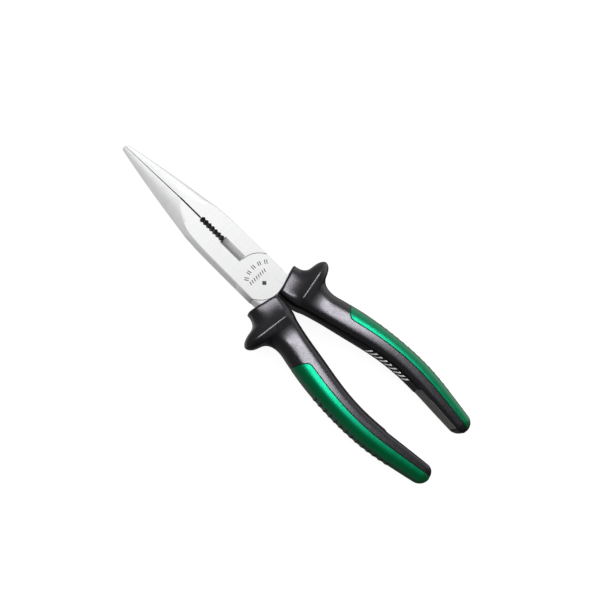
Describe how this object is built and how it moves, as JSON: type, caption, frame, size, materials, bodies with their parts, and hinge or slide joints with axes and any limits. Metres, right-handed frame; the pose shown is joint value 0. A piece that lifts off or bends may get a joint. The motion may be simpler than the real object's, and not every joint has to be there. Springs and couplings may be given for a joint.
{
  "type": "needle nose pliers",
  "caption": "Long-nose side-cutting pliers with half-round jaws, pipe grip, lap joint on a flush rivet, and two-colour moulded grips with thumb guards.",
  "frame": {"origin": "on the pivot axis, in the flat back face of the head", "axes": "+Y from the pivot to the nose, +X to the right grip, +Z out of the front face along the pivot axis"},
  "size_m": [0.0528, 0.2, 0.0156],
  "materials": {
    "forged_steel": "satin polished, fine grind marks",
    "rivet_steel": "ground flush with the head",
    "core_plastic": "as moulded",
    "grip_black": "fine texture, satin",
    "grip_green": "smooth gloss"
  },
  "bodies": {
    "rear": {"rear_half": "forged_steel", "pivot_rivet": "rivet_steel", "left_grip_core": "core_plastic", "left_grip_body": "grip_black", "left_grip_overlay": "grip_green"},
    "front": {"front_half": "forged_steel", "right_grip_core": "core_plastic", "right_grip_body": "grip_black", "right_grip_overlay": "grip_green"}
  },
  "joints": [
    {"name": "pivot", "type": "hinge", "parent": "rear", "child": "front", "pos_m": [0, 0, 0.005], "axis": [0, 0, 1], "range_deg": [0, 40]}
  ]
}
